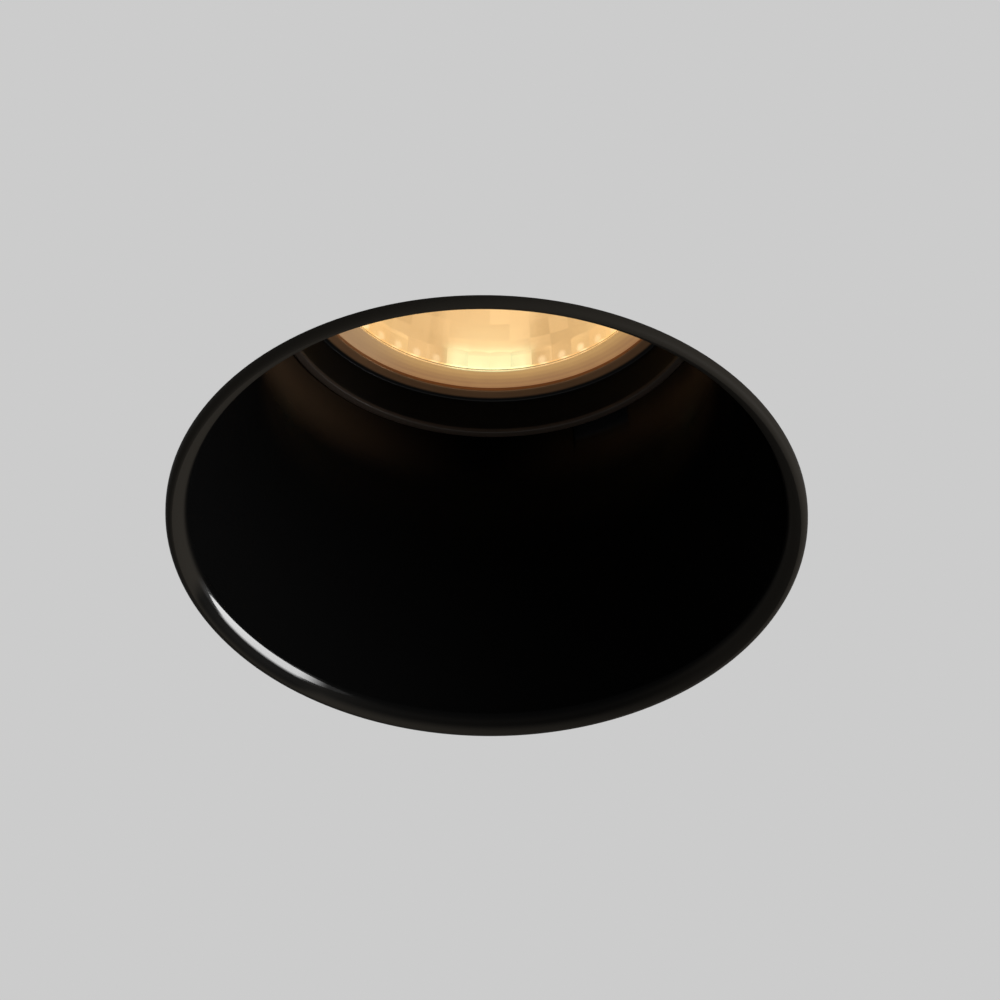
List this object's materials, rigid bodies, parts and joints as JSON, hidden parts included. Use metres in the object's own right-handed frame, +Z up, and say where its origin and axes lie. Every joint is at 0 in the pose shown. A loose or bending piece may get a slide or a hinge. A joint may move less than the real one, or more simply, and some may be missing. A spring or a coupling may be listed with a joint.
{
  "type": "recessed soffit downlight",
  "caption": "Round recessed soffit downlight with a slim rim, a deep black cone, a twist-lock ring, a reflector lamp and two sprung clips.",
  "frame": {"origin": "centre of the cone's mouth on the plane of the ceiling's underside, on the axis of the neck", "axes": "+Z up into the ceiling void along the light's axis, the light leaves towards -Z; the two spring clips lie on +X and -X"},
  "size_m": [0.1322, 0.084, 0.1531],
  "materials": {
    "cone_black": "gloss black enamel on aluminium",
    "ring_black": "satin black enamel",
    "housing_black": "fine textured black powder coat",
    "seal_black": "matt silicone",
    "cover_glass": "clear glass",
    "reflector_glass": "pressed glass with a mirror coat inside",
    "capsule": "lit, warm white",
    "ceramic": "matt white ceramic",
    "nickel": "nickel plate",
    "brass": "plain brass",
    "sheet_steel": "zinc-plated sheet",
    "spring_steel": "bright spring wire",
    "screw_steel": "stainless",
    "rivet": "plain",
    "block_plastic": "natural polyamide",
    "gland_plastic": "black polyamide",
    "sleeve_plastic": "black sleeve",
    "lead_brown": "brown sleeve",
    "lead_blue": "blue sleeve",
    "lead_green": "green and yellow sleeve"
  },
  "bodies": {
    "housing": {"trim_cone": "cone_black", "ceiling_gasket": "seal_black", "lamp_seal": "seal_black", "lamp_can": "housing_black", "can_gasket": "seal_black", "can_screws": "screw_steel", "holder_plate": "ceramic", "holder_body": "ceramic", "holder_contacts": "brass", "holder_screws": "screw_steel", "holder_bridge": "sheet_steel", "bridge_screws": "screw_steel", "terminal_block": "block_plastic", "terminal_inserts": "brass", "terminal_screws": "screw_steel", "earth_tag": "brass", "earth_screw": "screw_steel", "lead_live": "lead_brown", "lead_neutral": "lead_blue", "lead_earth": "lead_green", "rear_cap": "housing_black", "cap_gasket": "seal_black", "cap_screws": "screw_steel", "gland_washer": "seal_black", "gland_body": "gland_plastic", "gland_locknut": "gland_plastic", "gland_seal": "seal_black", "gland_nut": "gland_plastic", "bracket_right": "sheet_steel", "rivets_right": "rivet", "pivot_right": "screw_steel", "bracket_left": "sheet_steel", "rivets_left": "rivet", "pivot_left": "screw_steel"},
    "retainer": {"retaining_ring": "ring_black"},
    "lamp": {"lamp_cover_glass": "cover_glass", "lamp_reflector": "reflector_glass", "lamp_capsule": "capsule", "lamp_base": "ceramic", "lamp_pins": "nickel"},
    "clip_right": {"spring_right": "spring_steel", "sleeve_right": "sleeve_plastic"},
    "clip_left": {"spring_left": "spring_steel", "sleeve_left": "sleeve_plastic"}
  },
  "joints": [
    {"name": "ring_twist", "type": "hinge", "parent": "housing", "child": "retainer", "pos_m": [0, 0, 0.046], "axis": [0, 0, -1], "range_deg": [0, 25]},
    {"name": "lamp_twist", "type": "hinge", "parent": "housing", "child": "lamp", "pos_m": [0, 0, 0.07], "axis": [0, 0, -1], "range_deg": [0, 20]},
    {"name": "clip_right_fold", "type": "hinge", "parent": "housing", "child": "clip_right", "pos_m": [0.0358, 0, 0.0562], "axis": [0, -1, 0], "range_deg": [0, 150], "stiffness_Nm_per_rad": 0.15, "springref_deg": -97.4},
    {"name": "clip_left_fold", "type": "hinge", "parent": "housing", "child": "clip_left", "pos_m": [-0.0358, 0, 0.0562], "axis": [0, 1, 0], "range_deg": [0, 150], "stiffness_Nm_per_rad": 0.15, "springref_deg": -97.4}
  ]
}
